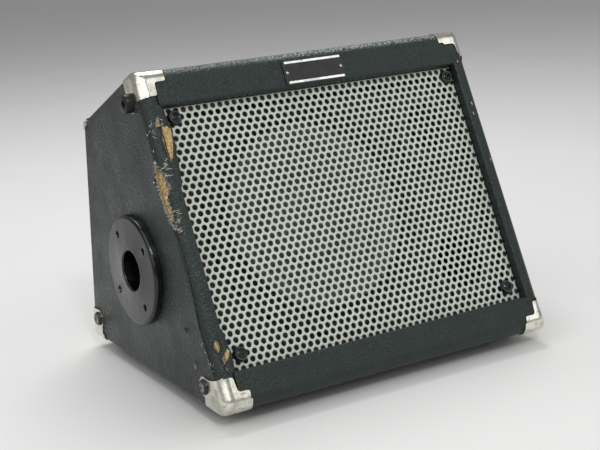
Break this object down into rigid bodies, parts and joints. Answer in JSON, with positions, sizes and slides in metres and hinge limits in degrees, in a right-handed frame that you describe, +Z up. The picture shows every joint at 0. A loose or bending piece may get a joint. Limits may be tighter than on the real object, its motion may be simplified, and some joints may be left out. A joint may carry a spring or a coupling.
{
  "type": "guitar combo amplifier",
  "caption": "Wedge-shaped guitar combo amplifier: vinyl cabinet with a tilted perforated grille, metal corners, top controls, strap handle, rubber feet and a side pole socket.",
  "frame": {"origin": "on the floor plane that the feet stand on, under the centre of the bounding box", "axes": "+Z up, -Y the way the grille faces (the front), +X to the right of someone who faces the grille"},
  "size_m": [0.3572, 0.2673, 0.2781],
  "materials": {
    "black_vinyl_on_wood": "fine pebble-grain black vinyl over board, satin",
    "bare_wood": "unfinished board",
    "black_stained_wood": "board painted flat black",
    "warm_grey_paint": "satin powder coat on perforated steel",
    "black_steel": "black coated steel",
    "nickel_plate": "bright nickel plate, lightly tarnished",
    "zinc_steel": "zinc plated steel",
    "black_plastic": "satin moulded plastic",
    "gloss_black_plastic": "glossy moulded plastic",
    "black_rubber": "matt rubber",
    "paper_cone": "pressed paper",
    "treated_cloth": "doped cloth",
    "ferrite": "fired ferrite",
    "copper_winding": "enamelled wire",
    "circuit_board": "solder-masked board"
  },
  "bodies": {
    "cabinet": {"badge_plate": "black_steel", "baffle_board": "black_stained_wood", "bottom_board": "black_vinyl_on_wood", "bumper_left": "black_rubber", "bumper_right": "black_rubber", "chassis_tray": "zinc_steel", "circuit_board": "circuit_board", "control_panel": "black_steel", "corner_front_bottom_left": "nickel_plate", "corner_front_bottom_right": "nickel_plate", "corner_front_top_left": "nickel_plate", "corner_front_top_right": "nickel_plate", "corner_rear_bottom_left": "nickel_plate", "corner_rear_bottom_right": "nickel_plate", "edge_strip": "nickel_plate", "foot_front_left": "black_rubber", "foot_front_right": "black_rubber", "foot_rear_left": "black_rubber", "foot_rear_right": "black_rubber", "front_bottom_rail": "black_vinyl_on_wood", "front_top_rail": "black_vinyl_on_wood", "grille_frame": "black_stained_wood", "grille_screw_bottom_left": "black_steel", "grille_screw_bottom_right": "black_steel", "grille_screw_top_left": "black_steel", "grille_screw_top_right": "black_steel", "grille_sheet": "warm_grey_paint", "handle_cap_left": "nickel_plate", "handle_cap_right": "nickel_plate", "handle_strap": "black_rubber", "input_jack_high": "black_plastic", "input_jack_low": "black_plastic", "mains_inlet": "black_plastic", "pole_socket": "gloss_black_plastic", "port_tube": "black_plastic", "rear_frame": "bare_wood", "rear_panel": "black_vinyl_on_wood", "side_board_left": "black_vinyl_on_wood", "side_board_right": "black_vinyl_on_wood", "switch_housing": "black_plastic", "top_board": "black_vinyl_on_wood", "transformer": "zinc_steel", "tweeter": "black_plastic", "woofer_basket": "black_steel", "woofer_gasket": "treated_cloth", "woofer_magnet": "ferrite", "woofer_spider": "treated_cloth", "woofer_surround": "treated_cloth", "woofer_top_plate": "zinc_steel", "woofer_yoke": "zinc_steel"},
    "knob_gain": {"knob_gain": "black_plastic"},
    "knob_bass": {"knob_bass": "black_plastic"},
    "knob_middle": {"knob_middle": "black_plastic"},
    "knob_treble": {"knob_treble": "black_plastic"},
    "knob_level": {"knob_level": "black_plastic"},
    "power_rocker": {"power_rocker": "black_plastic"},
    "channel_button": {"channel_button": "black_plastic"},
    "cone_assembly": {"woofer_cone": "paper_cone", "woofer_dust_cap": "paper_cone", "woofer_voice_coil": "copper_winding"}
  },
  "joints": [
    {"name": "knob_gain_turn", "type": "hinge", "parent": "cabinet", "child": "knob_gain", "pos_m": [-0.08, 0.04366, 0.24928], "axis": [0, 0.4462, 0.8949], "range_deg": [-150, 150]},
    {"name": "knob_bass_turn", "type": "hinge", "parent": "cabinet", "child": "knob_bass", "pos_m": [-0.032, 0.04366, 0.24928], "axis": [0, 0.4462, 0.8949], "range_deg": [-150, 150]},
    {"name": "knob_middle_turn", "type": "hinge", "parent": "cabinet", "child": "knob_middle", "pos_m": [0, 0.04366, 0.24928], "axis": [0, 0.4462, 0.8949], "range_deg": [-150, 150]},
    {"name": "knob_treble_turn", "type": "hinge", "parent": "cabinet", "child": "knob_treble", "pos_m": [0.032, 0.04366, 0.24928], "axis": [0, 0.4462, 0.8949], "range_deg": [-150, 150]},
    {"name": "knob_level_turn", "type": "hinge", "parent": "cabinet", "child": "knob_level", "pos_m": [0.064, 0.04366, 0.24928], "axis": [0, 0.4462, 0.8949], "range_deg": [-150, 150]},
    {"name": "power_rocker_tip", "type": "hinge", "parent": "cabinet", "child": "power_rocker", "pos_m": [0.118, 0.04375, 0.24945], "axis": [1, 0, 0], "range_deg": [0, 14]},
    {"name": "channel_button_press", "type": "slide", "parent": "cabinet", "child": "channel_button", "axis": [0, -0.4462, -0.8949], "range_m": [0, 0.003], "stiffness_N_per_m": 300, "springref_m": -0.0005},
    {"name": "cone_stroke", "type": "slide", "parent": "cabinet", "child": "cone_assembly", "axis": [0, -0.8949, 0.4462], "range_m": [-0.004, 0.004], "stiffness_N_per_m": 2500, "deforming": ["woofer_surround", "woofer_spider"]}
  ]
}
